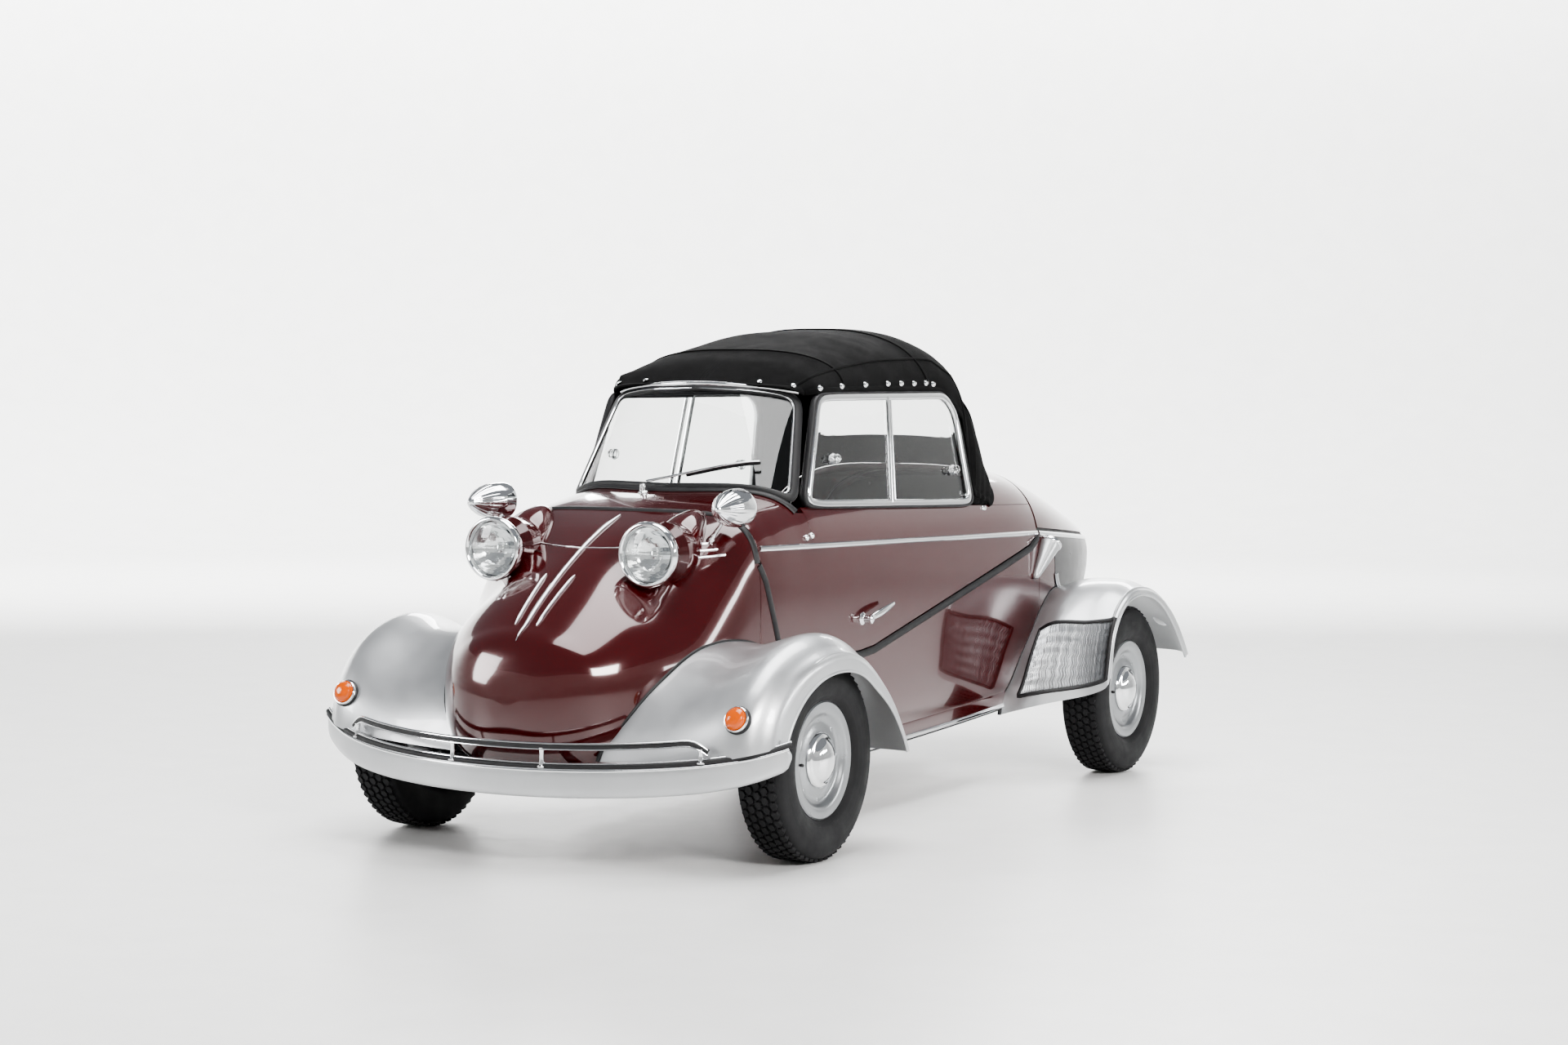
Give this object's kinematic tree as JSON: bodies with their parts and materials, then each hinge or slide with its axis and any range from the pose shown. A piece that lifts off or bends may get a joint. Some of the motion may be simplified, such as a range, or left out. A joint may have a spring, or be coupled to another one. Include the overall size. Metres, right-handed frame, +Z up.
{
  "type": "bubble car",
  "caption": "Narrow tandem two-seater with separate mudguards, a side-hinged canopy under a folding cloth top, steered front wheels and a lifting tail lid.",
  "frame": {"origin": "middle of the car's outline on the ground", "axes": "front of the car toward -Y, its left side toward +X, +Z up"},
  "size_m": [1.316, 2.9953, 1.2786],
  "materials": {
    "maroon_paint": "deep gloss wine-red enamel, polished",
    "silver_paint": "fine metallic silver enamel, gloss",
    "satin_aluminium": "satin, fine wave mesh on the mudguard panels",
    "tyre_rubber": "satin black rubber with blocks on the tread",
    "bright_chrome": "polished",
    "amber_lens": "ribbed translucent amber",
    "red_lens": "ribbed translucent red",
    "clear_glass": "clear, faint green",
    "black_rubber": "satin black",
    "black_cloth": "woven black canvas, matt",
    "seat_vinyl": "fine grained black, satin",
    "cast_metal": "rough, dark grey",
    "black_paint": "satin black enamel"
  },
  "bodies": {
    "body": {"body_tub": "maroon_paint", "nose_panel": "maroon_paint", "rear_body": "maroon_paint", "engine_shroud": "black_paint", "rear_bulkhead": "black_paint", "front_fender_left": "silver_paint", "front_fender_right": "silver_paint", "rear_fender_left": "silver_paint", "rear_fender_right": "silver_paint", "fender_meshes": "satin_aluminium", "front_bumper": "silver_paint", "bumper_rail": "bright_chrome", "tow_eye": "bright_chrome", "headlight_pods": "maroon_paint", "headlights": "bright_chrome", "turn_signals": "amber_lens", "mirrors": "bright_chrome", "tail_lamps": "red_lens", "air_scoops": "satin_aluminium", "engine": "cast_metal", "front_seat": "seat_vinyl", "rear_seat": "seat_vinyl", "dashboard": "black_paint", "steering_column": "black_paint", "front_axle": "black_paint", "rear_axle": "black_paint", "hinge_brackets": "black_paint"},
    "canopy": {"canopy_hinge_leaves": "black_paint", "canopy_cowl": "maroon_paint", "canopy_door": "maroon_paint", "canopy_rail": "maroon_paint", "canopy_deck": "maroon_paint", "windscreen_frame": "black_rubber", "windscreen": "clear_glass", "window_frames": "bright_chrome", "side_windows": "clear_glass", "soft_top": "black_cloth", "rear_window": "clear_glass"},
    "tail_lid": {"tail_lid": "maroon_paint", "lid_hinge_leaves": "black_paint"},
    "steering": {"steering_bar": "black_paint"},
    "knuckle_left": {"knuckle_left": "black_paint"},
    "knuckle_right": {"knuckle_right": "black_paint"},
    "wheel_front_left": {"tyre_front_left": "tyre_rubber", "rim_front_left": "silver_paint"},
    "wheel_front_right": {"tyre_front_right": "tyre_rubber", "rim_front_right": "silver_paint"},
    "wheel_rear_left": {"tyre_rear_left": "tyre_rubber", "rim_rear_left": "silver_paint"},
    "wheel_rear_right": {"tyre_rear_right": "tyre_rubber", "rim_rear_right": "silver_paint"}
  },
  "joints": [
    {"name": "canopy_hinge", "type": "hinge", "parent": "body", "child": "canopy", "pos_m": [-0.395, 0, 0.701], "axis": [0, -1, 0], "range_deg": [0, 85]},
    {"name": "tail_lid_hinge", "type": "hinge", "parent": "body", "child": "tail_lid", "pos_m": [0, 0.759, 0.893], "axis": [1, 0, 0], "range_deg": [0, 60]},
    {"name": "steering", "type": "hinge", "parent": "body", "child": "steering", "pos_m": [0, -0.475, 0.713], "axis": [0, 0.788, 0.6157], "range_deg": [-30, 30]},
    {"name": "knuckle_left", "type": "hinge", "parent": "body", "child": "knuckle_left", "pos_m": [0.505, -1, 0.243], "axis": [0, 0, 1], "range_deg": [-24, 24]},
    {"name": "knuckle_right", "type": "hinge", "parent": "body", "child": "knuckle_right", "pos_m": [-0.505, -1, 0.243], "axis": [0, 0, 1], "range_deg": [-24, 24]},
    {"name": "wheel_front_left", "type": "hinge", "parent": "knuckle_left", "child": "wheel_front_left", "pos_m": [0.555, -1, 0.243], "axis": [1, 0, 0], "continuous": true},
    {"name": "wheel_front_right", "type": "hinge", "parent": "knuckle_right", "child": "wheel_front_right", "pos_m": [-0.555, -1, 0.243], "axis": [1, 0, 0], "continuous": true},
    {"name": "wheel_rear_left", "type": "hinge", "parent": "body", "child": "wheel_rear_left", "pos_m": [0.545, 0.89, 0.243], "axis": [1, 0, 0], "continuous": true},
    {"name": "wheel_rear_right", "type": "hinge", "parent": "body", "child": "wheel_rear_right", "pos_m": [-0.545, 0.89, 0.243], "axis": [1, 0, 0], "continuous": true}
  ],
  "couplings": [
    {"joint": "knuckle_left", "follows": "steering", "ratio": 0.8},
    {"joint": "knuckle_right", "follows": "steering", "ratio": 0.8}
  ]
}
